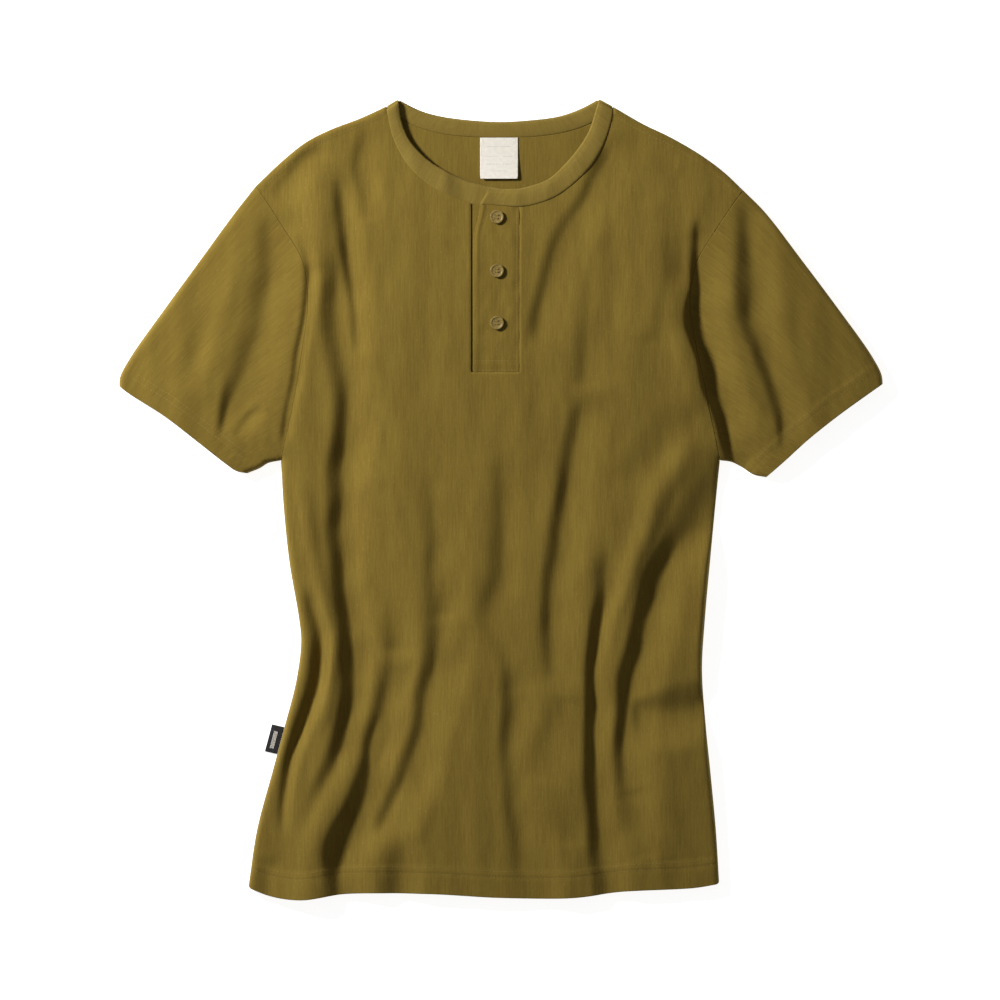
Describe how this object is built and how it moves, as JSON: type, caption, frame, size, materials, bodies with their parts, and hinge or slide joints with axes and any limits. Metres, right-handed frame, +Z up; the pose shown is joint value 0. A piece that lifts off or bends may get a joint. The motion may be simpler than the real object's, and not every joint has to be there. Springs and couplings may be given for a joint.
{
  "type": "henley shirt",
  "caption": "Short-sleeved henley shirt in heavy olive knit, lying flat and face up, with a band collar, a buttoned placket and soft folds.",
  "frame": {"origin": "middle of the shirt's box, on the surface it lies on", "axes": "+Z up, away from the surface; +Y from the hem to the neck; +X to the wearer's left"},
  "size_m": [0.6752, 0.7074, 0.0132],
  "materials": {
    "knit": "matt heavy cotton knit with a fine vertical slub",
    "button": "satin four-hole button, a little paler than the cloth",
    "neck_label": "white satin tape, with plain faint lines",
    "side_label": "black woven tape with a plain pale bar"
  },
  "bodies": {
    "root": {"back_panel": "knit", "front_panel": "knit", "sleeve_left": "knit", "sleeve_right": "knit", "neckband": "knit", "placket_under": "knit", "placket_top": "knit", "button_1": "button", "button_2": "button", "button_3": "button", "neck_label": "neck_label", "side_label": "side_label"}
  },
  "joints": []
}
